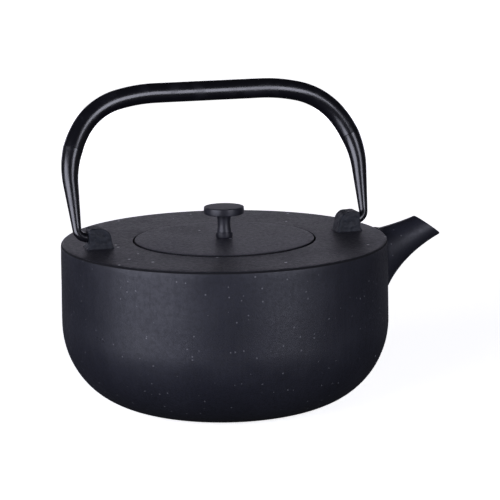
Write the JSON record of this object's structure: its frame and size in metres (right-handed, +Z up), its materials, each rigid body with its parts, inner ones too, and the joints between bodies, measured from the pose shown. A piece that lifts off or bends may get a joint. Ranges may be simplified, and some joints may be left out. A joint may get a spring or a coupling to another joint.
{
  "type": "teapot",
  "caption": "Squat cast-iron teapot with a flat deck, flush lid with a small knob, short spout, lift-out infuser and an overhead bail that swings.",
  "frame": {"origin": "centre of the flat base, on the surface that the teapot stands on", "axes": "+Z up, +X along the spout, +Y towards the side that the bail leans to"},
  "size_m": [0.2135, 0.1772, 0.1703],
  "materials": {
    "cast_iron": "matt black, finely rough",
    "lug_iron": "matt black, coarsely cast",
    "handle_steel": "satin black lacquer on steel",
    "knob_metal": "satin black, turned",
    "screw_steel": "plain stainless steel",
    "infuser_steel": "stainless sheet, fine perforations"
  },
  "bodies": {
    "pot": {"pot_bowl": "cast_iron", "pot_deck": "cast_iron", "spout": "cast_iron", "front_lug": "lug_iron", "rear_lug": "lug_iron"},
    "handle": {"handle_grip": "handle_steel", "front_handle_leg": "handle_steel", "rear_handle_leg": "handle_steel"},
    "infuser": {"infuser_rim": "infuser_steel", "infuser_mesh": "infuser_steel", "infuser_floor": "infuser_steel"},
    "lid": {"lid_plate": "cast_iron", "lid_knob": "knob_metal", "knob_screw": "screw_steel", "knob_washer": "screw_steel"}
  },
  "joints": [
    {"name": "handle_swing", "type": "hinge", "parent": "pot", "child": "handle", "pos_m": [0, 0, 0.0931], "axis": [1, 0, 0], "range_deg": [-69, 109.8]},
    {"name": "infuser_lift", "type": "slide", "parent": "pot", "child": "infuser", "axis": [0, 0, 1], "range_m": [0, 0.06]},
    {"name": "lid_lift", "type": "slide", "parent": "infuser", "child": "lid", "axis": [0, 0, 1], "range_m": [0, 0.06]}
  ]
}
